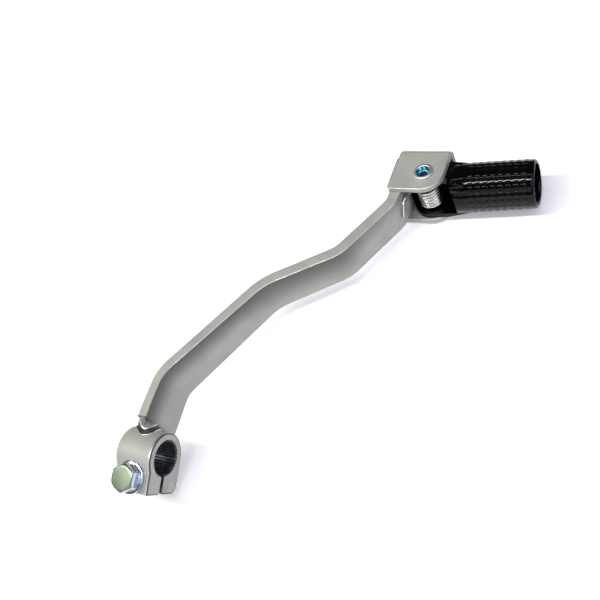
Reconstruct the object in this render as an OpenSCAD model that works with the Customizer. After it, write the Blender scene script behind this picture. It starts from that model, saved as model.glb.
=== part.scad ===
// Folding gear lever: a steel weldment that clamps on a serrated shaft, with a sprung folding foot peg.
// Millimetres. Origin at the centre of the serrated bore, +X towards the peg end, +Z up as it lies.

/* [Clamp boss] */
// Width of the boss along the shaft
boss_w = 16.6; // [12:0.2:22]
// Outer radius of the boss
boss_r = 10; // [9:0.1:12]
// Distance from the bore centre to the flat slotted end
clamp_len = 14.2; // [13.6:0.2:18]
// Depth of the washer's seat below the crown of the boss
seat_drop = 1.4; // [1:0.1:2]
// Tilt of the slotted end below the horizontal, degrees
clamp_tilt = 25; // [0:1:60]
// Width of the clamping slit
slit_w = 1.7; // [1:0.1:3]
// Corner radius on the underside of the slotted end
clamp_corner = 3; // [1:0.5:5]

/* [Serrated bore] */
// Radius over the tips of the teeth
tip_r = 6.55; // [5.5:0.05:7]
// Depth of the serrations
tooth_h = 0.45; // [0.3:0.05:0.6]
// Number of serrations round the bore
teeth = 36; // [24:1:44]
// Chamfer at each mouth of the bore
mouth_chamfer = 0.5; // [0.2:0.1:1]

/* [Pinch bolt] */
// Radius of the bolt's shank
bolt_r = 3; // [2.5:0.25:3]
// Length of the bolt under its head
bolt_len = 20; // [16:1:22]
// Distance from the bore centre to the bolt's axis
bolt_u = 8.6; // [8.5:0.1:9.8]
// Width of the hexagon head across its flats
head_af = 10; // [8:0.5:10]
// Height of the hexagon head
head_h = 3.4; // [3:0.1:5]
// Radius of the head's flat face inside its chamfer, as a share of the width across the flats
face_share = 0.45; // [0.4:0.01:0.5]
// Radius of the captive spring washer
lock_r = 5.3; // [5:0.1:5.6]
// Thickness of the captive spring washer
lock_t = 1.4; // [1:0.1:2]
// Radius of the captive plain washer
plain_r = 6.2; // [5.8:0.1:6.6]
// Thickness of the captive plain washer
plain_t = 1; // [0.6:0.1:1.6]
// Radial clearance of the spot face round the plain washer
spot_clear = 0.3; // [0.1:0.1:0.6]
// Radial clearance of the bolt in the head side of the clamp
bolt_clear = 0.3; // [0.2:0.05:0.5]

/* [Arm] */
// Thickness of the flat bar
bar_t = 5.1; // [4:0.1:6]
// Height of the bar at the boss
bar_h = 17.4; // [14:0.2:18]
// Height of the bar inside the bracket
bar_end_h = 15.6; // [12:0.2:16.4]
// Height of the bar's top edge above the bore centre at the boss
bar_top = 9.4; // [8:0.2:9.5]
// Roll of the bar at the boss, where its top face leans away from the peg's side, degrees
bar_roll = 13; // [0:1:20]
// Gap between the boss and the bevelled top of the bar's end
bar_gap = 1.6; // [0.4:0.2:2.4]
// Sideways place of the bar at the boss
bar_y = 3.6; // [2:0.2:5]
// Inside radius of the bend nearest the boss
bend_1 = 14; // [8:1:20]
// Inside radius of the long outer bend
bend_2 = 22; // [12:1:28]
// Inside radius of the return bend
bend_3 = 12; // [8:1:16]
// Inside radius of the bend at the bracket
bend_4 = 5; // [3:0.5:6]

/* [Bracket] */
// Distance from the bore to the fold pivot along the lever
pivot_x = 140.6; // [130:0.2:160]
// Distance from the bore to the fold pivot across the lever
pivot_y = 75; // [65:1:85]
// Distance of the peg's axis below the bore centre
peg_drop = 5.2; // [4:0.2:8]
// Clear gap between the two ears
ear_gap = 17.8; // [16.8:0.2:19]
// Thickness of the bracket's plate
plate_t = 2.5; // [2:0.1:3]
// Radius of the ears round the pivot
ear_r = 9.1; // [8.5:0.1:9.8]
// Reach of the bracket in front of the pivot
ear_front = 13.4; // [12.6:0.2:14]
// Reach of the ears from the pivot to the arm's outer face
ear_left = 13.4; // [13.4:0.2:15]
// Radius of the bend between an ear and the front wall
plate_bend = 3; // [2.6:0.2:4]
// Corner radius of the ears at the arm
ear_corner = 3; // [1:0.5:4]

/* [Folding peg] */
// Angle of the peg ahead of square, degrees
peg_yaw = 6.4; // [0:0.2:8]
// Distance from the fold pivot to the end of the peg
peg_len = 45; // [38:1:60]
// Outer radius of the peg
peg_r = 10; // [9.2:0.1:10.4]
// Taper of the peg, as the radius gained from its end to its neck
peg_taper = 0.4; // [0:0.1:0.6]
// Wall of the hollow peg
peg_wall = 2; // [1.4:0.1:2.6]
// Depth of the hollow in the peg
hollow_len = 30; // [20:1:33]
// Rounding at the end of the peg
peg_round = 1.2; // [0.5:0.1:1.4]
// Length of the smooth neck before the knurled grip
neck_len = 8.4; // [6:0.2:10]
// Radius of the lugs round the pivot
lug_r = 8; // [7:0.1:8.2]
// Thickness of the upper lug
lug_up = 3; // [2:0.1:5]
// Thickness of the lower lug
lug_low = 2.2; // [2:0.1:4]
// Clearance of each lug to its ear
lug_clear = 0.15; // [0.1:0.05:0.3]
// Gap between the ears and the shoulder of the peg
shoulder_gap = 1.6; // [1.5:0.1:2.5]
// Clearance of the peg's root to the front wall it rests on
stop_clear = 0.06; // [0.04:0.01:0.2]

/* [Fold pivot] */
// Radius of the pivot pin
pin_r = 2.75; // [2.25:0.25:3]
// Radius of the pin's formed heads
pin_head_r = 4.4; // [4:0.1:5]
// Slope of the heads' rims, as a step in radius
pin_head_step = 0.4; // [0.1:0.1:0.6]
// Height of the pin's formed heads
pin_head_h = 0.9; // [0.6:0.1:1.4]
// Radius of the cup in the upper head
cup_r = 3; // [2.6:0.1:3.4]
// Depth of the cup in the upper head
cup_h = 1.9; // [1:0.1:3]
// Outer radius of the spacer sleeve
sleeve_r = 3.7; // [3.5:0.05:3.8]
// Radial running clearance on the pin and on the sleeve
run_clear = 0.05; // [0.03:0.01:0.08]

/* [Return spring] */
// Diameter of the spring wire
wire_d = 1.5; // [1.2:0.1:1.6]
// Mean radius of the coil
coil_r = 5.2; // [5:0.05:5.3]
// Most full coils, fewer where the pocket is too low for them
coils = 6; // [3:1:6]
// Reach of the spring's hidden leg into the peg's root
leg_reach = 8.5; // [7:0.5:9.5]

/* [Hidden] */
$fn = 64;
eps = 0.01;
seat_v = boss_r - seat_drop;
head_v = seat_v + plain_t + lock_t;
// Waist of the bolt where it passes the shaft
waist_r = min(bolt_r, bolt_u - tip_r);
waist_half = sqrt(max(0, tip_r * tip_r - (bolt_u - bolt_r) * (bolt_u - bolt_r))) + 0.4;
root_r = tip_r + tooth_h;
// Heights of the bracket's faces
ear_in_top = -peg_drop + ear_gap / 2;
ear_in_low = -peg_drop - ear_gap / 2;
ear_out_top = ear_in_top + plate_t;
ear_out_low = ear_in_low - plate_t;
web_in = ear_front - plate_t;
// Faces of the lugs
lug_top = ear_in_top - lug_clear;
lug_bot = ear_in_low + lug_clear;
pocket_top = lug_top - lug_up;
pocket_bot = lug_bot + lug_low;
shoulder_y = ear_r + shoulder_gap;
grip_y = shoulder_y + neck_len;
pocket_r = coil_r + wire_d / 2 + 0.4;
pocket_y = shoulder_y - 1;
// Rim of the upper lug where the spring shows beneath the ear
roof_r = pocket_r + 0.3;
// Easing of the neck's shoulder
shoulder_ease = 1.8;
// Front flank of the peg's root, which lands on the end of the front wall
root_front = (web_in - stop_clear) * cos(peg_yaw) - ear_r * sin(peg_yaw);
// Line of the bar inside the bracket, and where it meets the bracket
bar_in_y = -pivot_y + ear_left - bar_t / 2;
bracket_x = pivot_x - ear_r;
bar_end_x = pivot_x + web_in - plate_bend + plate_t;
// Bend points of the bar's centre line, seen from above, as shares of the way between boss and bracket
along = bracket_x - 4.4;
across = bar_in_y - bar_y;
path = [[boss_r - 0.4, bar_y], [0.25 * along, bar_y + 2.0], [0.63 * along, bar_y + 0.365 * across],
    [0.779 * along, bar_y + 0.781 * across], [along, bar_in_y], [bar_end_x, bar_in_y]];
radii = [0, bend_1 + bar_t / 2, bend_2 + bar_t / 2, bend_3 + bar_t / 2, bend_4 + bar_t / 2, 0];
step_deg = 5;
// Flats along the bar's edges
bar_flat = 0.35;

// Heading from one point to the next, degrees
function heading(a, b) = atan2(b[1] - a[1], b[0] - a[0]);
function left_of(h) = [-sin(h), cos(h)];
// Points and headings along the rounded path: one at each end, an arc at each bend
function bend_at(p, i) =
    let (h0 = heading(p[i - 1], p[i]), h1 = heading(p[i], p[i + 1]), turn = h1 - h0,
        side = turn < 0 ? -1 : 1, r = radii[i], back = r * tan(abs(turn) / 2),
        start = p[i] - back * [cos(h0), sin(h0)], mid = start + side * r * left_of(h0),
        n = max(2, ceil(abs(turn) / step_deg)))
    [for (k = [0 : n]) let (h = h0 + turn * k / n) [mid - side * r * left_of(h), h]];
function stations(p) = concat([[p[0], heading(p[0], p[1])]],
    [for (i = [1 : len(p) - 2]) for (s = bend_at(p, i)) s],
    [[p[len(p) - 1], heading(p[len(p) - 2], p[len(p) - 1])]]);
route = stations(path);
last = len(route) - 1;

// Clamp frame: x along the slit, y towards the bolt's head, z along the bore
module clamp_frame() { rotate([0, 180 - clamp_tilt, 0]) rotate([-90, 0, 0]) children(); }
// Bolt frame: z along the bolt towards its head, from the middle of the clamp
module bolt_frame() { clamp_frame() translate([bolt_u, 0, 0]) rotate([-90, 0, 0]) children(); }
// Pivot frame: origin on the fold axis at the height of the peg's axis
module pivot_frame() { translate([pivot_x, -pivot_y, -peg_drop]) children(); }
// Peg frame: the same, turned so that -Y runs along the peg
module peg_frame() { pivot_frame() rotate([0, 0, peg_yaw]) children(); }

// Outline of the serrations, one V between each two teeth
module serration_outline() {
    polygon([for (k = [0 : teeth - 1]) for (s = [-1, 1])
        let (a = (k + s * 0.27) * 360 / teeth) (tip_r - 0.1) * [cos(a), sin(a)]]);
    for (k = [0 : teeth - 1]) rotate([0, 0, k * 360 / teeth])
        polygon([[tip_r - 0.2, -PI * tip_r * 0.62 / teeth], [root_r, 0], [tip_r - 0.2, PI * tip_r * 0.62 / teeth]]);
}

module boss_outline() {
    circle(r = boss_r, $fn = 96);
    difference() {
        translate([0, -boss_r]) square([clamp_len, boss_r + seat_v]);
        translate([clamp_len - clamp_corner, -boss_r - eps]) square([clamp_corner + eps, clamp_corner + eps]);
    }
    translate([clamp_len - clamp_corner, clamp_corner - boss_r]) circle(r = clamp_corner, $fn = 48);
}

module clamp_boss() color([0.74, 0.74, 0.72]) difference() {
    clamp_frame() difference() {
        translate([0, 0, -boss_w / 2]) linear_extrude(boss_w) boss_outline();
        translate([0, 0, -boss_w]) cylinder(r = tip_r, h = 2 * boss_w, $fn = 96);
        translate([0, 0, -boss_w]) linear_extrude(2 * boss_w) serration_outline();
        translate([0, -slit_w / 2, -boss_w]) cube([clamp_len + boss_w, slit_w, 2 * boss_w]);
        for (s = [0, 1]) mirror([0, 0, s]) translate([0, 0, boss_w / 2 - mouth_chamfer])
            cylinder(r1 = root_r - mouth_chamfer / 2, r2 = root_r + mouth_chamfer, h = 1.5 * mouth_chamfer, $fn = 96);
    }
    bolt_frame() {
        cylinder(r = bolt_r + bolt_clear, h = 2 * boss_r);
        translate([0, 0, -2 * boss_r]) cylinder(r = bolt_r + run_clear, h = 2 * boss_r);
        // Spot face for the plain washer
        translate([0, 0, seat_v]) cylinder(r = plain_r + spot_clear, h = boss_r);
    }
}

// Height of the bar's top face, its depth and its roll at a place along the lever
root_x = boss_r + 7;
ramp_x = bracket_x - 9;
function share(x) = min(1, max(0, (x - root_x) / (ramp_x - root_x)));
function top_at(x) = bar_top + (ear_in_top - bar_top) * share(x);
function depth_at(x) = bar_h + (bar_end_h - bar_h) * share(x);
function roll_at(x) = bar_roll * (1 - min(1, 1.25 * share(x)));
// One section of the bar: a rectangle with small flats at its corners, hung from its top face
function section(s) =
    let (x = s[0][0], a = left_of(s[1]), r = roll_at(x), c = bar_flat,
        over = [a[0] * cos(r), a[1] * cos(r), -sin(r)], up = [a[0] * sin(r), a[1] * sin(r), cos(r)],
        p = [x, s[0][1], top_at(x)], w = bar_t / 2, h = depth_at(x))
    [for (q = [[w - c, 0], [w, -c], [w, c - h], [w - c, -h], [c - w, -h], [-w, c - h], [-w, -c], [c - w, 0]])
        p + q[0] * over + q[1] * up];
function between(a, b) =
    let (n = max(1, ceil(norm(b[0] - a[0]) / 7)))
    [for (k = [1 : n]) [a[0] + (b[0] - a[0]) * k / n, a[1] + (b[1] - a[1]) * k / n]];
bar_stations = concat([route[0], [route[0][0] + 8 * [cos(route[0][1]), sin(route[0][1])], route[0][1]]], [for (i = [1 : last]) for (s = between(route[i - 1], route[i])) if (s[0][0] > path[0][0] + 9) s]);

module arm_solid() loft([for (i = [len(bar_stations) - 1 : -1 : 0]) section(bar_stations[i])]);

module boss_body() rotate([90, 0, 0]) translate([0, 0, -boss_w / 2]) cylinder(r = boss_r, h = boss_w, $fn = 96);

// Weld bevel at the upper end of the bar
module end_bevel() rotate([90, 0, 0]) translate([0, 0, -bar_h]) linear_extrude(2 * bar_h)
    polygon([[0, 2 * bar_top], [boss_r + bar_gap, 2 * bar_top], [boss_r + bar_gap, bar_top - 1.5], [boss_r - 0.6, 0], [0, 0]]);

// Straight root of the bar, as one block
module bar_root() difference() {
    translate([path[0][0], path[0][1], bar_top]) rotate([0, 0, route[0][1]]) rotate([-bar_roll, 0, 0])
        translate([0, -bar_t / 2, -bar_h]) cube([8, bar_t, bar_h]);
    end_bevel();
}

module lever_arm() color([0.76, 0.76, 0.74]) difference() { arm_solid(); boss_body(); end_bevel(); }

// Ear seen from above: round at the fold pivot, square at the wall, its corners eased at the arm
module ear_outline() {
    circle(r = ear_r, $fn = 96);
    translate([0, -ear_r]) square([ear_front, ear_r + ear_left - ear_corner]);
    translate([-ear_r, 0]) square([ear_r + ear_front, ear_left - ear_corner]);
    translate([-ear_r, 0]) square([ear_r + ear_front - ear_corner, ear_left]);
    translate([ear_front - ear_corner, ear_left - ear_corner]) circle(r = ear_corner, $fn = 48);
}

// Section of the bent plate in X and Z: two ears and the front wall
module channel_outline() {
    h = ear_gap / 2 + plate_t;
    b = plate_bend;
    bi = plate_bend - plate_t;
    difference() {
        union() {
            translate([-2 * ear_r, -h]) square([2 * ear_r + ear_front - b, 2 * h]);
            translate([-2 * ear_r, b - h]) square([2 * ear_r + ear_front, 2 * h - 2 * b]);
            for (s = [-1, 1]) translate([ear_front - b, s * (h - b)]) circle(r = b, $fn = 48);
        }
        translate([-3 * ear_r, -ear_gap / 2]) square([3 * ear_r + web_in - bi, ear_gap]);
        translate([-3 * ear_r, bi - ear_gap / 2]) square([3 * ear_r + web_in, ear_gap - 2 * bi]);
        for (s = [-1, 1]) translate([web_in - bi, s * (ear_gap / 2 - bi)]) circle(r = bi, $fn = 48);
    }
}

module tip_bracket() color([0.8, 0.8, 0.78]) pivot_frame() difference() {
    intersection() {
        translate([0, 0, -2 * ear_gap]) linear_extrude(4 * ear_gap) ear_outline();
        rotate([90, 0, 0]) translate([0, 0, -2 * ear_gap]) linear_extrude(4 * ear_gap) channel_outline();
    }
    translate([0, 0, -2 * ear_gap]) cylinder(r = pin_r + run_clear, h = 4 * ear_gap);
}

// Fillet bead that wraps the bar's end on the boss. Its toe is a line of places on the boss, each an angle above
// the horizontal and a distance from the bar's inner face. From every place one section of the bead runs to a
// point under the bar, as [share of that way, height above the boss].
// It keeps this distance from the far side of the boss
weld_margin = 0.65;
weld_far = boss_w / 2 - bar_y + bar_t / 2 - weld_margin;
weld_toe = [[20, weld_far], [36, 0.94 * weld_far], [47, 0.7 * weld_far], [54, 0.36 * weld_far], [62, 0.4], [66, -1.4], [65, -2.9], [59, -4.2], [48, -5], [29, -4.7],
    [11, -3.4], [-7, -2.6], [-24, -2.2]];
weld_mid = [30, 1.5];
weld_steps = 2;
weld_shape = [[0, -1], [0, 0.14], [0.03, 0.4], [0.07, 0.42], [0.12, 0.16], [0.17, 0.24], [0.21, 1], [0.28, 1.75], [0.38, 2.2],
    [0.52, 2.4], [0.7, 2.6], [0.88, 3.2], [0.88, -1]];
function curve(a, b, c, d, t) = 0.5 * (2 * b + t * (c - a) + t * t * (2 * a - 5 * b + 4 * c - d) + t * t * t * (3 * b - a - 3 * c + d));
toe_line = [for (i = [0 : len(weld_toe) - 2]) for (k = [0 : weld_steps - 1])
    curve(weld_toe[max(i - 1, 0)], weld_toe[i], weld_toe[i + 1], weld_toe[min(i + 2, len(weld_toe) - 1)], k / weld_steps)];
// Both ends of the bead run out into the boss
function weld_run_out(i) = let (k = min(i, len(toe_line) - 1 - i)) k == 0 ? 4.5 : k == 1 ? 1.4 : k == 2 ? 0.3 : 0;
// A place on or above the boss
function on_boss(q, h) = [(boss_r + h) * cos(q[0]), bar_y - bar_t / 2 + q[1], (boss_r + h) * sin(q[0])];

module loft(rings) {
    n = len(rings);
    m = len(rings[0]);
    polyhedron(
        points = [for (r = rings) for (q = r) q],
        faces = concat(
            [[for (j = [0 : m - 1]) j]],
            [for (i = [0 : n - 2]) for (j = [0 : m - 1]) let (k = (j + 1) % m) for (f = [
                [i * m + j, (i + 1) * m + j, (i + 1) * m + k], [i * m + j, (i + 1) * m + k, i * m + k]]) f],
            [[for (j = [m - 1 : -1 : 0]) (n - 1) * m + j]]));
}

module boss_weld() color([0.8, 0.8, 0.78]) difference() {
    loft([for (i = [len(toe_line) - 1 : -1 : 0]) let (t = toe_line[i])
        [for (w = weld_shape) on_boss(t + (weld_mid - t) * w[0], w[1] - weld_run_out(i))]]);
    boss_body();
    bar_root();
}

// Seam beads between the bar and the bracket, on the arm's outer face and along the front wall
module bracket_weld() color([0.8, 0.8, 0.78]) {
    seam_gap = 2;
    seam = bar_end_x - bracket_x - 2 * seam_gap;
    difference() {
        translate([bracket_x + seam_gap, -pivot_y + ear_left, ear_in_top + 0.4]) rotate([0, 90, 0]) cylinder(r = 1.4, h = seam, $fn = 24);
        translate([bracket_x, -pivot_y, ear_out_low]) cube([2 * seam, ear_left, 4 * ear_gap]);
    }
}

module hexagon(af) circle(r = af / sqrt(3), $fn = 6);

module pinch_bolt() color([0.72, 0.78, 0.72]) bolt_frame() {
    translate([0, 0, head_v - bolt_len]) cylinder(r = waist_r, h = bolt_len + eps);
    translate([0, 0, waist_half]) cylinder(r = bolt_r, h = head_v - waist_half + eps);
    translate([0, 0, head_v - bolt_len]) cylinder(r = bolt_r, h = bolt_len - head_v - waist_half);
    translate([0, 0, head_v]) intersection() {
        linear_extrude(head_h) hexagon(head_af);
        cylinder(r1 = head_af * face_share + head_h / tan(30), r2 = head_af * face_share, h = head_h, $fn = 64);
    }
}

module lock_washer() color([0.7, 0.72, 0.74]) bolt_frame() translate([0, 0, seat_v + plain_t]) difference() {
    cylinder(r = lock_r, h = lock_t);
    translate([0, 0, -eps]) cylinder(r = bolt_r + run_clear, h = lock_t + 2 * eps);
    rotate([0, 0, 250]) translate([0, -0.35, -eps]) cube([2 * lock_r, 0.7, lock_t + 2 * eps]);
}

module plain_washer() color([0.76, 0.78, 0.78]) bolt_frame() translate([0, 0, seat_v]) difference() {
    cylinder(r = plain_r, h = plain_t);
    translate([0, 0, -eps]) cylinder(r = bolt_r + run_clear, h = plain_t + 2 * eps);
}

// The way in to the spring from the rear, seen from above, its wall slanted along the neck
module window_outline() polygon([[-2 * lug_r, pocket_r], [1, pocket_r], [1, -pocket_y], [-4, -pocket_y], [-2 * lug_r, 0.5 * lug_r - 2 * pocket_y]]);

module folding_tip() color([0.09, 0.09, 0.1]) peg_frame() difference() {
    union() {
        // Round peg from the shoulder to its end, with a rounded rim
        rotate([90, 0, 0]) rotate_extrude($fn = 96) difference() {
            union() {
                polygon([[0, shoulder_y], [peg_r + peg_taper - shoulder_ease, shoulder_y], [peg_r + peg_taper - 0.3 * shoulder_ease, shoulder_y + 0.3 * shoulder_ease],
                    [peg_r + peg_taper, shoulder_y + shoulder_ease], [peg_r, peg_len - peg_round], [0, peg_len - peg_round]]);
                translate([0, shoulder_y]) square([peg_r - peg_round, peg_len - shoulder_y]);
                translate([peg_r - peg_round, peg_len - peg_round]) circle(r = peg_round, $fn = 32);
            }
            translate([-eps, peg_len - hollow_len]) square([peg_r - peg_wall + eps, hollow_len + 1]);
            translate([-2 * peg_r, 0]) square([2 * peg_r, 2 * peg_len]);
        }
        // Flat-sided root that blends into the neck
        intersection() {
            translate([-lug_r, -grip_y, lug_bot + peg_drop]) cube([lug_r + root_front, grip_y, lug_top - lug_bot]);
            rotate([90, 0, 0]) cylinder(r1 = peg_r + 3, r2 = peg_r, h = grip_y + 1, $fn = 96);
        }
        translate([0, 0, lug_bot + peg_drop]) cylinder(r = lug_r, h = lug_top - lug_bot);
    }
    translate([0, 0, -2 * ear_gap]) cylinder(r = sleeve_r + run_clear, h = 4 * ear_gap);
    // Seat of the spring's hidden leg
    translate([coil_r - wire_d / 2 - spring_gap, -leg_reach - 0.5, pocket_bot + peg_drop])
        cube([wire_d + 2 * spring_gap, leg_reach + 0.5, wire_d + 3 * spring_gap]);
    // Room for the spring between the lugs
    translate([0, 0, pocket_bot + peg_drop]) {
        cylinder(r = pocket_r, h = pocket_top - pocket_bot);
        linear_extrude(pocket_top - pocket_bot) window_outline();
        linear_extrude(2 * ear_gap) difference() { window_outline(); circle(r = roof_r, $fn = 96); translate([-2, -ear_gap]) square(2 * ear_gap); }
        // Way out for the spring's leg along the arm
        translate([-2 * lug_r, 0, pocket_top - pocket_bot - wire_d - 2 * spring_gap])
            cube([2 * lug_r + 2.5, 2 * lug_r, wire_d + 2 * spring_gap]);
    }
}

module pivot_pin() color([0.75, 0.82, 0.84]) pivot_frame() {
    top = ear_gap / 2 + plate_t;
    difference() {
        union() {
            translate([0, 0, -top]) cylinder(r = pin_r, h = 2 * top);
            for (s = [0, 1]) mirror([0, 0, s]) translate([0, 0, top])
                cylinder(r1 = pin_head_r, r2 = pin_head_r - pin_head_step, h = pin_head_h);
        }
        translate([0, 0, top + pin_head_h - cup_h]) cylinder(r1 = pin_r * 0.6, r2 = cup_r, h = cup_h + eps);
    }
}

module pivot_sleeve() color([0.72, 0.72, 0.7]) pivot_frame() difference() {
    translate([0, 0, -ear_gap / 2]) cylinder(r = sleeve_r, h = ear_gap);
    translate([0, 0, -ear_gap]) cylinder(r = pin_r + run_clear, h = 2 * ear_gap);
}

// Torsion spring: a leg along the arm, the coil and a leg in the peg's root
spring_gap = 0.2;
coil_top = pocket_top + peg_drop - spring_gap - wire_d / 2;
coil_bot = pocket_bot + peg_drop + spring_gap + wire_d / 2;
leg_y = ear_left - bar_t - wire_d / 2 - 0.1;
// The first leg meets the coil at a tangent
leg_x = -10.5;
coil_start = atan2(leg_y, leg_x) - acos(coil_r / norm([leg_x, leg_y]));
turns = max(2, min(coils, floor((coil_top - coil_bot) / (1.04 * wire_d) - 0.2)));
coil_sweep = 360 * turns + coil_start - peg_yaw;
coil_n = round(coil_sweep / 20);
coil_pts = [for (k = [0 : coil_n]) let (a = coil_start - coil_sweep * k / coil_n)
    [coil_r * cos(a), coil_r * sin(a), coil_top + (coil_bot - coil_top) * k / coil_n]];
leg_1 = [[leg_x - 5, leg_y, coil_top - 4.4], [leg_x - 1.6, leg_y, coil_top - 1.2], [leg_x, leg_y, coil_top]];
leg_2 = [for (d = [leg_reach / 2, leg_reach]) [coil_r * cos(peg_yaw) + d * sin(peg_yaw), coil_r * sin(peg_yaw) - d * cos(peg_yaw), coil_bot]];
wire_pts = concat(leg_1, coil_pts, leg_2);
wire_sides = 8;

function unit3(v) = v / norm(v);
function tangent(p, i) = unit3(p[min(i + 1, len(p) - 1)] - p[max(i - 1, 0)]);
module wire(p, d) {
    n = len(p);
    polyhedron(
        points = [for (i = [0 : n - 1])
            let (t = tangent(p, i), u = unit3(cross([0, 0, 1], t)), w = cross(t, u))
            for (j = [0 : wire_sides - 1]) p[i] + d / 2 * (cos(360 * j / wire_sides) * u + sin(360 * j / wire_sides) * w)],
        faces = concat(
            [[for (j = [0 : wire_sides - 1]) j]],
            [for (i = [0 : n - 2]) for (j = [0 : wire_sides - 1]) let (k = (j + 1) % wire_sides)
                [i * wire_sides + j, (i + 1) * wire_sides + j, (i + 1) * wire_sides + k, i * wire_sides + k]],
            [[for (j = [wire_sides - 1 : -1 : 0]) (n - 1) * wire_sides + j]]));
}

module return_spring() color([0.85, 0.86, 0.86]) pivot_frame() wire(wire_pts, wire_d);

clamp_boss();
lever_arm();
tip_bracket();
boss_weld();
bracket_weld();
pinch_bolt();
lock_washer();
plain_washer();
folding_tip();
pivot_pin();
pivot_sleeve();
return_spring();
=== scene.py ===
# %% [markdown]
# # A folding gear lever
# A motorbike's gear lever is a small steel weldment: a slotted boss clamps on the serrated gear shaft, a flat bar
# is bent round the engine cover, and a bracket holds a peg that folds back when the lever hits the ground.
# The solids come packed, with every size settled, so this file only dresses them: it softens edges, adds the fine
# forms that are too small for the solids, and gives each surface a finish that is worked out from the real one.

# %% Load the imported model
import bpy, bmesh, math
from mathutils import Matrix, Vector


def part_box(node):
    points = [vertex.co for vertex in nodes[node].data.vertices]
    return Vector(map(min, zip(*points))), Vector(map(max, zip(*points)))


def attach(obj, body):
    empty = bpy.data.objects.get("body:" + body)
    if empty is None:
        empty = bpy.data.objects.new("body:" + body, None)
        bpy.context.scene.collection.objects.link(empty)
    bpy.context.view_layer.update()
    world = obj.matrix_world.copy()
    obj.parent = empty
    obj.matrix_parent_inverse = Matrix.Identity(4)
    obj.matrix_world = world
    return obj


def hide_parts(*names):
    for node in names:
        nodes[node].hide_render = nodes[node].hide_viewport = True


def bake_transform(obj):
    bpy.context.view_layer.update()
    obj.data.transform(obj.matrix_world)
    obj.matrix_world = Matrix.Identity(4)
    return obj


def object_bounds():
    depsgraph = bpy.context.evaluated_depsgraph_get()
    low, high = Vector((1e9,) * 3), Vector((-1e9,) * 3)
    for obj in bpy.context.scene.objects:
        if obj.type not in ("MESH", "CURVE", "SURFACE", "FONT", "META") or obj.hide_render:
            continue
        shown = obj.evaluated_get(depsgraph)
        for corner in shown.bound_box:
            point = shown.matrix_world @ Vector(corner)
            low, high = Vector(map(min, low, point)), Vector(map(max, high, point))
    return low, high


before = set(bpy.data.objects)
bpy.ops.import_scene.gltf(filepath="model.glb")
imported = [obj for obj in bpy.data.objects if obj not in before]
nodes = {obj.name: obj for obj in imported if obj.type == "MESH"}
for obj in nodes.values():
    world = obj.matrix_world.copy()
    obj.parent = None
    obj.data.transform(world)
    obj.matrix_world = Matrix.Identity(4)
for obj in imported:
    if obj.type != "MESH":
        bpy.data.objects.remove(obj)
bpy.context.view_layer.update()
MM = 0.001

# %% [markdown]
# ## Places and sizes
# Everything is in metres in the lever's own frame. The bore is at the origin with the shaft along Y, and the peg
# folds about an upright pin. The pin's place and the boss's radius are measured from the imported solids, so they stay
# right when a solid changes. The peg's turn, its drop below the bore's centre and the clamp's tilt don't show in a
# box, so they repeat the sizes that the solids were made with, and so does the bar's path further down.

# %% Shared places
pin_low, pin_high = [Vector(c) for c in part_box("pivot_pin")]
pivot = (pin_low + pin_high) / 2
peg_yaw = math.radians(6.4)
peg_drop = -5.2 * MM
clamp_tilt = math.radians(25)
boss_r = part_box("clamp_boss")[1][0]
print("fold pivot at", [round(v / MM, 2) for v in pivot], "mm; boss radius", round(boss_r / MM, 2), "mm")

# %% [markdown]
# ## Helpers for finishes
# A colour is written as the hex value that a paint chart or a photo editor shows. That value is sRGB, and the
# renderer works with linear light, so one function turns one into the other. A second small function adds a node,
# sets its values, links its inputs and, on a colour ramp, sets the stops, given as (place, colour). That keeps each
# finish short enough to read as a recipe.

# %% Colour and node helpers
def paint(hex_value):
    part = [int(hex_value[i:i + 2], 16) / 255 for i in (0, 2, 4)]
    return [c / 12.92 if c <= 0.04045 else ((c + 0.055) / 1.055) ** 2.4 for c in part] + [1.0]


def node(tree, kind, values=None, links=None, stops=(), **settings):
    made = tree.nodes.new(kind)
    for name, value in settings.items():
        setattr(made, name, value)
    for name, value in (values or {}).items():
        made.inputs[name].default_value = value
    for name, socket in (links or {}).items():
        tree.links.new(socket, made.inputs[name])
    for stop, (share, hex_value) in zip(made.color_ramp.elements if stops else (), stops):
        stop.position, stop.color = share, paint(hex_value)
    return made


def finish_of(name, **values):
    material = bpy.data.materials.new(name)
    material.use_nodes = True
    tree = material.node_tree
    shader = tree.nodes["Principled BSDF"]
    for socket, value in values.items():
        shader.inputs[socket.replace("_", " ")].default_value = value
    place = node(tree, "ShaderNodeTexCoord").outputs["Object"]
    return material, tree, shader, place


print("helpers ready")
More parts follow.
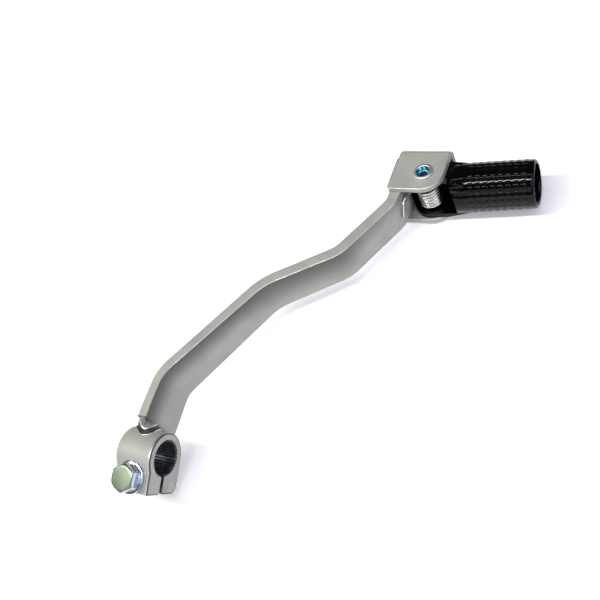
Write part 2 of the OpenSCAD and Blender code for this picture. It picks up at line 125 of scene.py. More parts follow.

# %% [markdown]
# ## Silver paint on the weldment
# Boss, bar and bracket are mild steel, welded, tumbled smooth and sprayed with a silver wheel paint. Fine aluminium
# flakes in a clear binder give a satin finish, so the shader is partly metallic and rather rough, with a thin clear
# coat over it, a cloudy change of tone nine millimetres wide from the spray gun, and a low orange peel. On the bar's
# long side a darker colour below the top edge paints the shade that falls there. Its strength comes from the bar as an
# attribute, because it follows the bar's bends.

# %% Silver paint
silver_paint, tree, shader, place = finish_of("silver_wheel_paint", Metallic=0.35, Roughness=0.65, Coat_Weight=0.08,
                                              Coat_Roughness=0.4)
clouds = node(tree, "ShaderNodeTexNoise", {"Scale": 1 / (9 * MM), "Detail": 3.0}, {"Vector": place}).outputs["Fac"]
painted_shade_share = node(tree, "ShaderNodeAttribute", attribute_name="painted_shade_on_bar_side").outputs["Fac"]
full = node(tree, "ShaderNodeValToRGB", links={"Fac": clouds}, stops=((0.3, "A3A49E"), (0.7, "AFB0A9")))
# Painted shade: the attribute mixes in a darker colour below the bar's top edge, where shade falls.
tone = node(tree, "ShaderNodeMix", {"B": paint("635F5C")}, {"Factor": painted_shade_share, "A": full.outputs["Color"]},
            data_type="RGBA")
tree.links.new(tone.outputs["Result"], shader.inputs["Base Color"])
rough = node(tree, "ShaderNodeMapRange", {"To Min": 0.62, "To Max": 0.74}, {"Value": clouds})
tree.links.new(rough.outputs["Result"], shader.inputs["Roughness"])
peel = node(tree, "ShaderNodeTexNoise", {"Scale": 1 / (0.9 * MM), "Detail": 3.0}, {"Vector": place})
bump = node(tree, "ShaderNodeBump", {"Strength": 0.22, "Distance": 0.05 * MM}, {"Height": peel.outputs["Fac"]})
tree.links.new(bump.outputs["Normal"], shader.inputs["Normal"])
print("made", silver_paint.name)

# %% [markdown]
# ## Painted highlight on rounded edges
# Each rounded edge gets a finish that is smoother and more metallic than the faces beside it, and a lighter colour
# paints a bright highlight line along it. On the weld the paint pools and stays glossier.

# %% Edge finish with a painted highlight, and weld paint
edge_painted_highlight, tree, shader, place = finish_of("silver_paint_with_painted_highlight_on_edges", Metallic=0.9, Roughness=0.28)
edge_highlight_noise = node(tree, "ShaderNodeTexNoise", {"Scale": 1 / (3 * MM), "Detail": 2.0}, {"Vector": place}).outputs["Fac"]
# Painted highlight: lighter than the silver paint, so each rounded edge shows a bright line.
tone = node(tree, "ShaderNodeValToRGB", links={"Fac": edge_highlight_noise}, stops=((0.35, "B9BAB3"), (0.65, "D2D3CD")))
tree.links.new(tone.outputs["Color"], shader.inputs["Base Color"])
pooled_paint, tree, shader, place = finish_of("silver_paint_pooled_on_weld", Metallic=0.6, Roughness=0.36)
pool = node(tree, "ShaderNodeTexNoise", {"Scale": 1 / (1.5 * MM), "Detail": 2.0}, {"Vector": place}).outputs["Fac"]
tone = node(tree, "ShaderNodeValToRGB", links={"Fac": pool}, stops=((0.35, "ABACA4"), (0.65, "CFD0C9")))
tree.links.new(tone.outputs["Color"], shader.inputs["Base Color"])
print("made", edge_painted_highlight.name, pooled_paint.name)

# %% [markdown]
# ## Front edge of the boss
# The boss is faced in a lathe, which leaves its front edge crisp. Its rounded rim gets painted light: next to the
# face a dark line paints shade, and beside that a bright band paints a highlight. The colour follows the distance
# from the boss's front face, so it needs no picture.

# %% Painted shade and highlight on the boss's rims
boss_rim_painted_shade_and_highlight, tree, shader, place = finish_of("painted_shade_and_highlight_on_boss_rim", Metallic=0.8, Roughness=0.35)
front_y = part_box("clamp_boss")[0][1]
depth = node(tree, "ShaderNodeSeparateXYZ", links={"Vector": place}).outputs["Y"]
depth = node(tree, "ShaderNodeMapRange", {"From Min": front_y, "From Max": front_y + 0.8 * MM}, {"Value": depth})
# Painted shade: a dark line next to the front face; painted highlight: a bright band beside it.
tone = node(tree, "ShaderNodeValToRGB", links={"Fac": depth.outputs["Result"]},
            stops=((0.3, "585855"), (0.5, "D2D3CE")))
tree.links.new(tone.outputs["Color"], shader.inputs["Base Color"])
print("made", boss_rim_painted_shade_and_highlight.name, "for y from", round(front_y / MM, 2), "mm")

# %% [markdown]
# ## Bare steel in the bore, darkened as painted shade
# The bore is broached after painting, so it shows bare steel. Its dark colour, also given to the slit's walls, paints
# the shade inside them. The shader is only half metallic: the crests of the teeth glint and the grooves stay nearly
# black.

# %% Bare steel darkened as painted shade
bore_steel_with_painted_shade, tree, shader, place = finish_of("bare_steel_darkened_as_painted_shade", Metallic=0.55, Roughness=0.38)
film_tone_and_painted_shade = node(tree, "ShaderNodeTexNoise", {"Scale": 1 / (2.5 * MM), "Detail": 2.0}, {"Vector": place}).outputs["Fac"]
# Painted shade: the dark tone stands for the shade inside the bore and the slit.
tone = node(tree, "ShaderNodeValToRGB", links={"Fac": film_tone_and_painted_shade}, stops=((0.35, "33363A"), (0.65, "5A5E62")))
tree.links.new(tone.outputs["Color"], shader.inputs["Base Color"])
print("made", bore_steel_with_painted_shade.name)

# %% [markdown]
# ## Gloss black coat on the cast peg
# The peg is cast and dipped in black enamel. The coat fills the casting's grain, so it reflects sharply like wet
# ink, but slow ripples break the reflection up. Black paint isn't metallic: nearly all that the eye sees is the
# clear reflection, so the base colour is almost nothing and roughness is low. The IOR is 1.3 and not a paint's usual
# 1.45 or so, which makes the pale floor show more weakly in the peg's underside.

# %% Gloss black enamel
black_enamel, tree, shader, place = finish_of("gloss_black_enamel", Base_Color=paint("040405"), Roughness=0.08,
                                              IOR=1.3)
ripple = node(tree, "ShaderNodeTexNoise", {"Scale": 1 / (2.2 * MM), "Detail": 2.0}, {"Vector": place}).outputs["Fac"]
grain = node(tree, "ShaderNodeTexNoise", {"Scale": 1 / (0.45 * MM), "Detail": 2.0}, {"Vector": place}).outputs["Fac"]
both = node(tree, "ShaderNodeMath", {1: 0.3}, {0: grain, 2: ripple}, operation="MULTIPLY_ADD")
bump = node(tree, "ShaderNodeBump", {"Strength": 0.3, "Distance": 0.08 * MM}, {"Height": both.outputs["Value"]})
tree.links.new(bump.outputs["Normal"], shader.inputs["Normal"])
print("made", black_enamel.name)

# %% [markdown]
# ## Zinc plate with a blue and green passivate
# Bolt, washers and pin are zinc plated, and the thin passivate film on the zinc tints it pale green and blue, as
# oil does on water. The film's thickness drifts over a few millimetres, so the hue drifts with it.

# %% Zinc plate
def zinc_plate(name, first, second, roughness, drift=6):
    material, tree, shader, place = finish_of(name, Metallic=1.0, Roughness=roughness)
    film_tone_and_painted_shade = node(tree, "ShaderNodeTexNoise", {"Scale": 1 / (drift * MM), "Detail": 2.0}, {"Vector": place})
    tone = node(tree, "ShaderNodeValToRGB", links={"Fac": film_tone_and_painted_shade.outputs["Fac"]}, stops=((0.38, first), (0.62, second)))
    tree.links.new(tone.outputs["Color"], shader.inputs["Base Color"])
    pits = node(tree, "ShaderNodeTexNoise", {"Scale": 1 / (0.6 * MM), "Detail": 2.0}, {"Vector": place})
    bump = node(tree, "ShaderNodeBump", {"Strength": 0.15, "Distance": 0.04 * MM}, {"Height": pits.outputs["Fac"]})
    tree.links.new(bump.outputs["Normal"], shader.inputs["Normal"])
    print("made", name)
    return material


green_zinc = zinc_plate("green_passivated_zinc", "889888", "979F8C", 0.42, 4)
blue_zinc = zinc_plate("blue_passivated_zinc", "AEBCD2", "D8DEE6", 0.2, 5)
white_zinc = zinc_plate("clear_passivated_zinc", "E2E6E4", "F4F4F0", 0.45)
teal_zinc = zinc_plate("teal_passivated_zinc", "2A7486", "7FC0CE", 0.22, 2)
spring_wire = zinc_plate("bright_spring_wire", "C9C8C0", "E2E1DA", 0.2)

# %% [markdown]
# ## Softened edges on the solids
# No pressed, cast or painted edge is sharp: paint and tumbling round it to a fraction of a millimetre, and that
# thin round edge catches the light. Each node is copied with its doubles merged, its hard edges are found by their
# angle, and a Bevel modifier rounds those that keep() chooses. The rest stay sharp. Where a big flat face meets many
# small ones, a Weighted Normal modifier keeps it evenly lit. The copy then stands for the node.

# %% Copy of a node with rounded edges
def settle(piece, name):
    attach(piece, "tip" if name == "folding_tip" else "lever")
    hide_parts(name)


def softened(name, material, radius, segments=3, keep=None, angle=32, inner=None, inside=None, flat=False,
             edge_finish=None, merge=0.4):
    mesh = nodes[name].data.copy()
    mesh.materials.clear()
    for finish in (material, inner):
        if finish:
            mesh.materials.append(finish)
    piece = bpy.data.objects.new(name + "_finished", mesh)
    bpy.context.collection.objects.link(piece)
    work = bmesh.new()
    work.from_mesh(mesh)
    bmesh.ops.remove_doubles(work, verts=work.verts, dist=0.002 * MM)
    bmesh.ops.dissolve_limit(work, angle_limit=math.radians(merge), verts=work.verts, edges=work.edges)
    weight = work.edges.layers.float.new("bevel_weight_edge")
    marked = 0
    for edge in work.edges:
        if len(edge.link_faces) == 2 and edge.calc_face_angle() > math.radians(angle):
            edge[weight] = 1.0 if keep is None else float(keep(edge))
            edge.smooth = edge[weight] > 0
            marked += edge.smooth
    for face in work.faces:
        face.smooth = True
        face.material_index = 1 if inside and inside(face) else 0
    work.to_mesh(mesh)
    work.free()
    round_off = piece.modifiers.new("rounded_edges", "BEVEL")
    round_off.limit_method, round_off.width, round_off.segments = "WEIGHT", radius, segments
    round_off.use_clamp_overlap, round_off.harden_normals = False, not flat
    if edge_finish:
        mesh.materials.append(edge_finish)
        round_off.material = len(mesh.materials) - 1
    if flat:
        piece.modifiers.new("flat_faces_stay_flat", "WEIGHTED_NORMAL").weight = 100
    settle(piece, name)
    print(piece.name, "rounds", marked, "edges by", radius / MM, "mm")


# %% [markdown]
# ## Boss and bracket
# The boss is turned and milled bar with broached serrations, and its outer edges are eased by tumbling. The bore and
# the slit get the dark bare steel that paints their shade, chosen by where a face lies: within the bore's radius, or
# between the slit's walls.
# Only the rims of the two end faces are rounded, because a broach leaves the serrations sharp.

# %% Boss and bracket
BORE_REACH, RIM_REACH, FACE_Y, SLIT_HALF = 7.3 * MM, 9.2 * MM, 8.2 * MM, 0.9 * MM
slit_way = Vector((-math.cos(clamp_tilt), 0, -math.sin(clamp_tilt)))


def from_bore(point):
    return math.hypot(point.x, point.z)


def in_bore_or_slit(face):
    middle = face.calc_center_median()
    across = abs(middle.x * slit_way.z - middle.z * slit_way.x)
    in_slit = across < SLIT_HALF and middle.dot(slit_way) > 0 and abs(face.normal.y) < 0.5
    return from_bore(middle) < BORE_REACH and abs(middle.y) < FACE_Y or in_slit


def on_boss_rim(edge):
    return all(from_bore(v.co) > RIM_REACH and abs(v.co.y) > FACE_Y for v in edge.verts)


softened("clamp_boss", silver_paint, 0.8 * MM, inner=bore_steel_with_painted_shade, inside=in_bore_or_slit,
         keep=on_boss_rim, edge_finish=boss_rim_painted_shade_and_highlight)
softened("tip_bracket", silver_paint, 0.35 * MM, flat=True, edge_finish=edge_painted_highlight)
softened("bracket_weld", silver_paint, 0.3 * MM)

# %% [markdown]
# ## Bent flat bar
# The bar is hot-rolled flat stock, bent four times about upright formers and twisted a little at the boss. Rolled
# stock has soft corners and sides that are a touch fuller in the middle than a drawn rectangle, and that crown turns
# the light along the side. So the bar is swept here again along the solid's own path, with a finer section.

# %% The bar's path
bar_points = [(9.6, 3.6), (31.775, 5.6), (80.073, -21.129), (99.011, -49.314), (127.1, -64.15), (151.0, -64.15)]
bend_radii = [0, 16.55, 24.55, 14.55, 7.55, 0]


def heading(a, b):
    return math.atan2(b[1] - a[1], b[0] - a[0])


def bar_route():
    route = [(*bar_points[0], heading(*bar_points[:2]))]
    for i in range(1, 5):
        before, after = heading(*bar_points[i - 1:i + 1]), heading(*bar_points[i:i + 2])
        turn = after - before
        side = -1 if turn < 0 else 1
        back = bend_radii[i] * math.tan(abs(turn) / 2)
        start = (bar_points[i][0] - back * math.cos(before), bar_points[i][1] - back * math.sin(before))
        mid = (start[0] - side * bend_radii[i] * math.sin(before), start[1] + side * bend_radii[i] * math.cos(before))
        count = max(4, round(abs(math.degrees(turn)) / 2))
        for k in range(count + 1):
            h = before + turn * k / count
            route.append((mid[0] + side * bend_radii[i] * math.sin(h), mid[1] - side * bend_radii[i] * math.cos(h), h))
    route.append((*bar_points[5], heading(*bar_points[4:6])))
    fine = [route[0]]
    for a, b in zip(route, route[1:]):
        count = max(1, round(math.hypot(b[0] - a[0], b[1] - a[1]) / 2))
        fine += [tuple(a[j] + (b[j] - a[j]) * k / count for j in range(3)) for k in range(1, count + 1)]
    return fine


route = bar_route()
print("bar path of", len(route), "places")

# %% The bar's section
BAR_T, DEPTH_AT_BOSS, CROWN, CORNER = 5.1, 17.4, 0.4, 0.4


def bar_section(depth):
    half, low = BAR_T / 2 - CORNER, CORNER - depth
    outline = []
    for cx, cz, turned in ((half, -CORNER, 90), (half, low, 0), (-half, low, -90), (-half, -CORNER, -180)):
        for k in range(5):
            a = math.radians(turned - 22.5 * k)
            outline.append((cx + CORNER * math.cos(a), cz + CORNER * math.sin(a)))
        if turned in (90, -90):
            start, stop = (-CORNER, low) if turned == 90 else (low, -CORNER)
            outward = 1 if turned == 90 else -1
            for t in (j / 10 for j in range(1, 10)):
                outline.append((outward * (BAR_T / 2 + 4 * CROWN * t * (1 - t)), start + (stop - start) * t))
    return outline


print("bar section of", len(bar_section(DEPTH_AT_BOSS)), "points")

# %% [markdown]
# Along the way the bar gets lower and untwists. Its end at the boss is cut by a slanted plane that clears the boss.
# The strength of the painted shade on the long side and its reach down the side are read between places along the
# bar, given as (share, value). The strips that turn the two upper corners get the edge finish with its painted
# highlight.

# %% The bar's sweep
TAPER_FROM, TAPER_TO = 17, 122.5
TOP_AT_BOSS, TOP_AT_BRACKET, DEPTH_LOST = 9.4, 3.7, 1.8
ROLL_AT_BOSS = math.radians(13)
END_X, END_SLANT, SLANT_TOP = 9.4, 2.2, 7.9
# These corner strips get the edge finish with its painted highlight.
corner_strips = (1, 2, 34, 35)


def bar_share(x):
    return min(1, max(0, (x - TAPER_FROM) / (TAPER_TO - TAPER_FROM)))


def between(s, *stations):
    for (a, first), (b, second) in zip(stations, stations[1:]):
        if s <= b:
            return first + (second - first) * max(0, s - a) / (b - a)
    return stations[-1][1]


def swept_bar():
    work = bmesh.new()
    film_tone_and_painted_shade = work.verts.layers.float.new("painted_shade_on_bar_side")
    rings = []
    for x, y, h in route:
        s = bar_share(x)
        top, depth = TOP_AT_BOSS + (TOP_AT_BRACKET - TOP_AT_BOSS) * s, DEPTH_AT_BOSS - DEPTH_LOST * s
        roll = ROLL_AT_BOSS * (1 - min(1, 1.25 * s))
        left = (-math.sin(h), math.cos(h))
        over = Vector((left[0] * math.cos(roll), left[1] * math.cos(roll), -math.sin(roll)))
        up = Vector((left[0] * math.sin(roll), left[1] * math.sin(roll), math.cos(roll)))
        # Strength and reach of the painted shade on the long side, between places along the bar.
        strength = between(s, (0, 0.97), (0.5, 0.97), (0.78, 0.95), (0.88, 0.5), (1, 0.4))
        reach = between(s, (0, 0.55), (0.45, 0.62), (0.58, 1.0), (0.78, 1.0), (0.9, 0.5), (1, 0.4))
        ring = []
        for a, b in bar_section(depth):
            point = Vector((x, y, top)) + a * over + b * up
            if not rings:
                ahead = END_X + END_SLANT * min(1, max(0, point.z / SLANT_TOP))
                point += Vector((math.cos(h), math.sin(h), 0)) * (ahead - point.x) / math.cos(h)
            ring.append(work.verts.new(point * MM))
            # Painted shade on the long side: darkest just below the top edge, fading out further down.
            down = min(1, max(0, -b / depth / reach))
            on_long_side = a < -0.9 * BAR_T / 2 and b < -0.5 * CORNER
            ring[-1][film_tone_and_painted_shade] = strength * (1 - down * down * (3 - 2 * down)) if on_long_side else 0
        rings.append(ring)
    count = len(rings[0])
    for a, b in zip(rings, rings[1:]):
        for j in range(count):
            work.faces.new((a[j], a[(j + 1) % count], b[(j + 1) % count], b[j]))
    for i, face in enumerate(work.faces):
        face.smooth, face.material_index = True, 1 if i % count in corner_strips else 0
    for ring in (rings[0], rings[-1]):
        for j in range(count // 2 - 1):
            work.faces.new((ring[j], ring[j + 1], ring[count - 2 - j], ring[count - 1 - j]))
    bmesh.ops.recalc_face_normals(work, faces=work.faces)
    mesh = bpy.data.meshes.new("bent_bar")
    work.to_mesh(mesh)
    work.free()
    return mesh


bar = bpy.data.objects.new("bent_bar", swept_bar())
bpy.context.collection.objects.link(bar)
bar.data.materials.append(silver_paint)
bar.data.materials.append(edge_painted_highlight)
settle(bar, "lever_arm")
print(bar.name, "has", len(bar.data.polygons), "faces")

# %% [markdown]
# ## Weld bead round the bar's end
# The bar is welded to the boss with one fat bead. Molten steel freezes in overlapping scales, so the bead is convex
# and its surface steps in fine ripples. Where it wets the boss, a thin lip gets the edge finish with its painted
# highlight, and the crevice behind it a dark finish that paints the shade there. The bead's toe follows the same
# places on the boss as the solid does, as an angle above the horizontal and a distance along Y from the bar's near
# side, joined by a smooth curve. A section is run from each place to a point under the bar's end. Its first strips
# are the lip, the next the crevice, and the rest the bead, with a ripple every millimetre or so. The bead stands
# taller over its first places, on the bar's far side.

# %% Weld bead
weld_crevice_painted_shade, tree, shader, place = finish_of("painted_shade_in_weld_crevice", Metallic=0.5, Roughness=0.6)
crevice_shade_noise = node(tree, "ShaderNodeTexNoise", {"Scale": 1 / (1.2 * MM), "Detail": 2.0}, {"Vector": place})
# Painted shade: the crevice between bead and boss is darkened where shade falls.
tone = node(tree, "ShaderNodeValToRGB", links={"Fac": crevice_shade_noise.outputs["Fac"]},
            stops=((0.35, "2E2E2A"), (0.65, "4A4A43")))
tree.links.new(tone.outputs["Color"], shader.inputs["Base Color"])
BAR_FACE = bar_points[0][1] - BAR_T / 2
weld_toe = [(20, 6.6), (36, 6.2), (47, 4.62), (54, 2.38), (62, 0.4), (66, -1.4), (65, -2.9), (59, -4.2), (48, -5),
            (29, -4.7), (11, -3.4), (-7, -2.6), (-24, -2.2)]
weld_middle = (30, 1.5)
weld_profile = [(0, -0.6), (0, 0.1), (0.012, 0.34), (0.035, 0.52), (0.06, 0.5), (0.085, 0.2), (0.13, 0.02),
                (0.19, 0.02), (0.23, 0.4), (0.25, 0.95), (0.28, 1.5), (0.32, 1.9), (0.37, 2.17), (0.44, 2.32),
                (0.52, 2.4), (0.62, 2.5), (0.74, 2.7), (0.88, 3.1), (0.88, -0.6)]
lip_strips, crevice_strips = range(1, 5), range(5, 10)


def smooth_between(a, b, c, d, t):
    return tuple(0.5 * (2 * b[i] + t * (c[i] - a[i]) + t * t * (2 * a[i] - 5 * b[i] + 4 * c[i] - d[i])
                        + t ** 3 * (3 * b[i] - a[i] - 3 * c[i] + d[i])) for i in range(2))


def on_boss(angle, away, height):
    a, r = math.radians(angle), boss_r / MM + height
    return Vector((r * math.cos(a), BAR_FACE + away, r * math.sin(a))) * MM


def welded_bead(steps=10, ripple=0.04):
    last = len(weld_toe) - 1
    toe = [smooth_between(weld_toe[max(i - 1, 0)], weld_toe[i], weld_toe[i + 1], weld_toe[min(i + 2, last)], k / steps)
           for i in range(last) for k in range(steps)]
    work = bmesh.new()
    rings = []
    for i, (angle, away) in enumerate(toe):
        end = min(i, len(toe) - 1 - i) / steps
        sunk = 4.5 * max(0, 1 - end * 1.2) ** 2
        tall = 0.75 * max(0, min(1, (5.5 - i / steps) / 3))
        ring = []
        for share, height in weld_profile:
            scale = ripple * max(0, min(1, (height - 0.5) * 2)) * math.sin(math.pi * ((i + 6 * share) % 4) / 4)
            ring.append(work.verts.new(on_boss(angle + (weld_middle[0] - angle) * share,
                                               away + (weld_middle[1] - away) * share,
                                               height * (1 + tall * (height > 0.6)) + scale - sunk)))
        rings.append(ring)
    count = len(weld_profile)
    for a, b in zip(rings, rings[1:]):
        for j in range(count):
            strip = work.faces.new((a[j], a[(j + 1) % count], b[(j + 1) % count], b[j]))
            strip.smooth = True
            # Crevice strips get the painted shade and lip strips the painted highlight.
            strip.material_index = 1 if j in crevice_strips else 2 if j in lip_strips else 0
    work.faces.new(rings[0])
    work.faces.new(list(reversed(rings[-1])))
    bmesh.ops.recalc_face_normals(work, faces=work.faces)
    mesh = bpy.data.meshes.new("weld_bead")
    work.to_mesh(mesh)
    work.free()
    return mesh


bead = bpy.data.objects.new("weld_bead", welded_bead())
bpy.context.collection.objects.link(bead)
for finish in (pooled_paint, weld_crevice_painted_shade, edge_painted_highlight):
    bead.data.materials.append(finish)
settle(bead, "boss_weld")
print(bead.name, "has", len(bead.data.polygons), "faces")

# %% [markdown]
# ## Bolt, washers and pin
# The bolt's head is forged with a chamfered round face, and the lock washer is split and twisted by its set. The
# pin's head is spread by a punch, which leaves a bright proud ring round a deep cup whose film looks teal.

# %% The fasteners
CUP_R, CUP_DEPTH = 3.05 * MM, 2.2 * MM


def in_cup(face):
    near_axis = all((v.co.xy - pivot.xy).length < CUP_R for v in face.verts)
    return near_axis and face.calc_center_median().z > pin_high.z - CUP_DEPTH


def on_bolt_side(face):
    return abs(face.normal.dot(Vector((-math.sin(clamp_tilt), 0, math.cos(clamp_tilt))))) < 0.3


softened("pinch_bolt", green_zinc, 0.3 * MM, angle=20, inner=blue_zinc, inside=on_bolt_side)
softened("lock_washer", blue_zinc, 0.15 * MM)
softened("plain_washer", blue_zinc, 0.2 * MM)
softened("pivot_pin", white_zinc, 0.25 * MM, angle=25, inner=teal_zinc, inside=in_cup)
softened("pivot_sleeve", white_zinc, 0.1 * MM)

# %% [markdown]
# ## Helper for pieces that follow a rule
# Some pieces repeat one small form or follow a path. A Geometry Nodes tree holds such a rule, with named inputs for
# its sizes. The helper puts the tree on an object, sets the inputs, takes the result as a plain mesh and drops the
# modifier, because the pieces that are handed on must be plain meshes.

# %% Geometry Nodes helpers
def rule_tree(name, sizes):
    tree = bpy.data.node_groups.new(name, "GeometryNodeTree")
    tree.interface.new_socket("Geometry", in_out="INPUT", socket_type="NodeSocketGeometry")
    for size, kind in sizes.items():
        tree.interface.new_socket(size, in_out="INPUT", socket_type="NodeSocket" + kind)
    tree.interface.new_socket("Geometry", in_out="OUTPUT", socket_type="NodeSocketGeometry")
    return tree, tree.nodes.new("NodeGroupInput").outputs, tree.nodes.new("NodeGroupOutput")


def grown(name, mesh, tree, values):
    start = bpy.data.objects.new(name + "_start", mesh)
    bpy.context.collection.objects.link(start)
    rule = start.modifiers.new("rule", "NODES")
    rule.node_group = tree
    for item in tree.interface.items_tree:
        if item.in_out == "INPUT" and item.name in values:
            rule[item.identifier] = values[item.name]
    result = bpy.data.meshes.new_from_object(start.evaluated_get(bpy.context.evaluated_depsgraph_get()))
    start.modifiers.remove(rule)
    bpy.data.objects.remove(start)
    piece = bpy.data.objects.new(name, result)
    bpy.context.collection.objects.link(piece)
    print(name, "grew to", len(result.polygons), "faces")
    return piece


# %% [markdown]
# ## Return spring
# The spring is close-wound bright wire with a leg at each end: one lies along the bar, the other hides in the peg's
# root. The wire's centre line is a list of places, and the tree sweeps a round wire along it.

# %% Return spring
COIL_R, WIRE, TURNS, LEG_X, LEG_Y = 5.2, 1.5, 6, -10.5, 7.45
coil_top, coil_bottom = 4.8, -5.6
coil_start = math.atan2(LEG_Y, LEG_X) - math.acos(COIL_R / math.hypot(LEG_X, LEG_Y))
coil_sweep = 2 * math.pi * TURNS + coil_start - peg_yaw


def spring_line():
    line = [(LEG_X - 5, LEG_Y, coil_top - 4.4), (LEG_X - 1.6, LEG_Y, coil_top - 1.2), (LEG_X, LEG_Y, coil_top)]
    count = 36 * TURNS
    for k in range(count + 1):
        a = coil_start - coil_sweep * k / count
        line.append((COIL_R * math.cos(a), COIL_R * math.sin(a), coil_top + (coil_bottom - coil_top) * k / count))
    for d in (4.25, 8.5):
        line.append((COIL_R * math.cos(peg_yaw) + d * math.sin(peg_yaw),
                     COIL_R * math.sin(peg_yaw) - d * math.cos(peg_yaw), coil_bottom))
    return [Vector(p) * MM + Vector((pivot.x, pivot.y, 0)) + Vector((0, 0, peg_drop)) for p in line]


spring_mesh = bpy.data.meshes.new("spring_line")
line = spring_line()
spring_mesh.from_pydata(line, [(i, i + 1) for i in range(len(line) - 1)], [])
tree, sizes, out = rule_tree("wound_wire", {"Wire Diameter": "Float", "Sides": "Int", "Finish": "Material"})
curve = node(tree, "GeometryNodeMeshToCurve", links={"Mesh": sizes["Geometry"]})
radius = node(tree, "ShaderNodeMath", {1: 0.5}, {0: sizes["Wire Diameter"]}, operation="MULTIPLY")
ring = node(tree, "GeometryNodeCurvePrimitiveCircle", links={"Resolution": sizes["Sides"], "Radius": radius.outputs[0]})
sweep = node(tree, "GeometryNodeCurveToMesh", {"Fill Caps": True},
             {"Curve": curve.outputs["Curve"], "Profile Curve": ring.outputs["Curve"]})
real = node(tree, "GeometryNodeRealizeInstances", links={"Geometry": sweep.outputs["Mesh"]})
dressed = node(tree, "GeometryNodeSetMaterial",
               links={"Geometry": real.outputs["Geometry"], "Material": sizes["Finish"]})
tree.links.new(dressed.outputs["Geometry"], out.inputs["Geometry"])
spring = grown("return_spring_wire", spring_mesh, tree,
               {"Wire Diameter": (WIRE - 0.02) * MM, "Sides": 14, "Finish": spring_wire})
for face in spring.data.polygons:
    face.use_smooth = len(face.vertices) == 4
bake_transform(spring)
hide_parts("return_spring")

# %% [markdown]
# ## Folding peg and its knurl
# The peg is a hollow casting. Its grip carries a cast knurl of raised round-cornered pads, all alike, in rows along
# the peg and round it, so one pad is set out on a cylinder by a rule: row and place in the row come from the point's
# number, and each pad turns to stand off the surface. The neck and a narrow band at the end stay smooth. The number
# divided by the pads in a row has the row as its whole part. A nudge of a thousandth before rounding down keeps a
# small error from putting a row's first pad in the row before. On the peg's body only the rim of its end is rounded.

# %% Peg body
RIM_FROM_PIVOT = 44 * MM


def on_peg_end(edge):
    return max(v.co.y for v in edge.verts) < pivot.y - RIM_FROM_PIVOT


softened("folding_tip", black_enamel, 1.05 * MM, segments=5, keep=on_peg_end, merge=0.02)

# %% Cast knurl
tree, sizes, out = rule_tree("cast_knurl", {"Round": "Int", "Rows": "Int", "Pitch": "Float", "Start": "Float",
                                            "Radius": "Float", "Slope": "Float", "Pad": "Vector", "Place": "Vector",
                                            "Turn": "Vector", "Finish": "Material"})
total = node(tree, "ShaderNodeMath", links={0: sizes["Round"], 1: sizes["Rows"]}, operation="MULTIPLY")
points = node(tree, "GeometryNodeMeshLine", links={"Count": total.outputs[0]})
index = node(tree, "GeometryNodeInputIndex").outputs[0]
share = node(tree, "ShaderNodeMath", links={0: index, 1: sizes["Round"]}, operation="DIVIDE")
nudged = node(tree, "ShaderNodeMath", {1: 0.0011}, {0: share.outputs[0]}, operation="ADD")
row = node(tree, "ShaderNodeMath", links={0: nudged.outputs[0]}, operation="FLOOR").outputs[0]
part = node(tree, "ShaderNodeMath", links={0: share.outputs[0], 1: row}, operation="SUBTRACT").outputs[0]
angle = node(tree, "ShaderNodeMath", {1: 2 * math.pi, 2: 0.16}, {0: part}, operation="MULTIPLY_ADD").outputs[0]
along = node(tree, "ShaderNodeMath", links={0: row, 1: sizes["Pitch"], 2: sizes["Start"]},
             operation="MULTIPLY_ADD").outputs[0]
reach = node(tree, "ShaderNodeMath", links={0: along, 1: sizes["Slope"], 2: sizes["Radius"]},
             operation="MULTIPLY_ADD").outputs[0]
cosine = node(tree, "ShaderNodeMath", links={0: angle}, operation="COSINE").outputs[0]
sine = node(tree, "ShaderNodeMath", links={0: angle}, operation="SINE").outputs[0]
x = node(tree, "ShaderNodeMath", links={0: cosine, 1: reach}, operation="MULTIPLY").outputs[0]
z = node(tree, "ShaderNodeMath", links={0: sine, 1: reach}, operation="MULTIPLY").outputs[0]
y = node(tree, "ShaderNodeMath", {1: -1.0}, {0: along}, operation="MULTIPLY").outputs[0]
spot = node(tree, "ShaderNodeCombineXYZ", links={"X": x, "Y": y, "Z": z})
placed = node(tree, "GeometryNodeSetPosition", links={"Geometry": points.outputs["Mesh"], "Position": spot.outputs[0]})
lean = node(tree, "ShaderNodeMath", {0: math.pi / 2}, {1: angle}, operation="SUBTRACT").outputs[0]
turned = node(tree, "ShaderNodeCombineXYZ", links={"Y": lean})
block = node(tree, "GeometryNodeMeshCube", {"Vertices X": 3, "Vertices Y": 3, "Vertices Z": 2}, {"Size": sizes["Pad"]})
pad = node(tree, "GeometryNodeSubdivisionSurface", {"Level": 1}, {"Mesh": block.outputs["Mesh"]})
pad = node(tree, "GeometryNodeSetShadeSmooth", links={"Geometry": pad.outputs["Mesh"]})
pads = node(tree, "GeometryNodeInstanceOnPoints",
            links={"Points": placed.outputs[0], "Instance": pad.outputs[0], "Rotation": turned.outputs[0]})
real = node(tree, "GeometryNodeRealizeInstances", links={"Geometry": pads.outputs["Instances"]})
moved = node(tree, "GeometryNodeTransform",
             links={"Geometry": real.outputs["Geometry"], "Translation": sizes["Place"], "Rotation": sizes["Turn"]})
dressed = node(tree, "GeometryNodeSetMaterial",
               links={"Geometry": moved.outputs["Geometry"], "Material": sizes["Finish"]})
tree.links.new(dressed.outputs["Geometry"], out.inputs["Geometry"])
knurl = grown("cast_knurl_pads", bpy.data.meshes.new("knurl_start"), tree, {
    "Round": 20, "Rows": 8, "Pitch": 3.05 * MM, "Start": 19.6 * MM, "Radius": 10.24 * MM, "Slope": -0.0121,
    "Pad": (3.0 * MM, 2.9 * MM, 0.75 * MM), "Place": (pivot.x, pivot.y, peg_drop), "Turn": (0, 0, peg_yaw),
    "Finish": black_enamel})
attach(knurl, "tip")

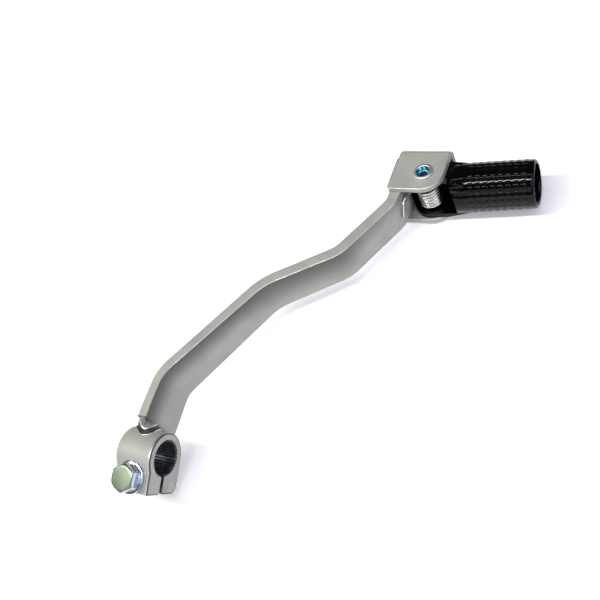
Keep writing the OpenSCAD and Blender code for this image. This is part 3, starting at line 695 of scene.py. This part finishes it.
# %% [markdown]
# ## Floor, light and camera
# A plain pale floor lies under the lowest solid. One long softbox stands high behind the lever and gives the peg its
# bright line, and a second weaker one gives the line above it. A wide cool one beside the camera fills the fronts. The
# smooth peg can't mirror it, because all that a round bar along Y reflects to this camera lies on the far side. A
# weak one beyond the boss lights what faces away from the bracket. Dim surroundings keep the black peg black. The
# camera's lens and place were worked out from the circles of bore, bolt, pivot and peg end and from the directions
# of the bracket's edges.

# %% Floor
floor_mesh = bpy.data.meshes.new("floor")
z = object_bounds()[0][2] - 0.2 * MM
floor_mesh.from_pydata([(x, y, z) for x, y in ((-6, -6), (6, -6), (6, 6), (-6, 6))], [], [(0, 1, 2, 3)])
floor = bpy.data.objects.new("floor", floor_mesh)
bpy.context.collection.objects.link(floor)
pale, tree, shader, place = finish_of("pale_paper", Base_Color=paint("F2F2F3"), Roughness=0.9,
                                      Emission_Color=paint("F6F6FA"), Emission_Strength=0.3)
floor_mesh.materials.append(pale)
print("floor at", round(z / MM, 2), "mm")

# %% Camera
camera_data = bpy.data.cameras.new("camera")
camera_data.sensor_width, camera_data.lens = 36.0, 49.8
camera_data.clip_start, camera_data.clip_end = 0.01, 50
camera = bpy.data.objects.new("camera", camera_data)
right, down, forward = (0.3329, -0.8726, -0.3574), (-0.8305, -0.0918, -0.5495), (0.4467, 0.4797, -0.7552)
eye = (-0.0748, -0.2008, 0.2561)
camera.matrix_world = Matrix([(right[i], -down[i], -forward[i], eye[i]) for i in range(3)] + [(0, 0, 0, 1)])
bpy.context.collection.objects.link(camera)
bpy.context.scene.camera = camera
print("camera at", eye, "with a lens of", round(camera_data.lens, 1), "mm")


# %% Lights
def softbox(name, aim, direction, along, distance, size, power, tint):
    data = bpy.data.lights.new(name, "AREA")
    data.shape, data.size, data.size_y, data.energy = "RECTANGLE", size[0], size[1], power
    data.color = paint(tint)[:3]
    away = Vector(direction).normalized()
    x = (Vector(along) - away * Vector(along).dot(away)).normalized()
    y = away.cross(x)
    spot = Vector(aim) + away * distance
    lamp = bpy.data.objects.new(name, data)
    lamp.matrix_world = Matrix([(x[i], y[i], away[i], spot[i]) for i in range(3)] + [(0, 0, 0, 1)])
    bpy.context.collection.objects.link(lamp)


peg_middle = (pivot.x + 0.003, pivot.y - 0.03, pivot.z)
peg_way = (0.111, -0.994, 0)
softbox("long_softbox", peg_middle, (-0.351, 0.390, 0.851), peg_way, 0.9, (1.1, 0.06), 8.2, "FFFFF8")
softbox("upper_softbox", peg_middle, (0.004, 0.430, 0.903), peg_way, 0.9, (0.9, 0.03), 0.6, "FFFFF8")
softbox("front_softbox", (0.07, -0.03, 0), (-0.25, -0.6, 0.76), (1, 0, 0), 1.5, (1.6, 1.6), 13.5, "E8E8FF")
softbox("side_softbox", (0.07, -0.03, 0), (-0.9, 0.1, 0.42), (0, 1, 0), 1.2, (0.9, 0.5), 1.5, "FFFFFF")
world = bpy.data.worlds.new("studio")
world.use_nodes = True
world.node_tree.nodes["Background"].inputs["Color"].default_value = paint("E9ECF2")
world.node_tree.nodes["Background"].inputs["Strength"].default_value = 0.07
bpy.context.scene.world = world
bpy.context.scene.view_settings.view_transform = "Standard"
print("stage, lights and camera set")
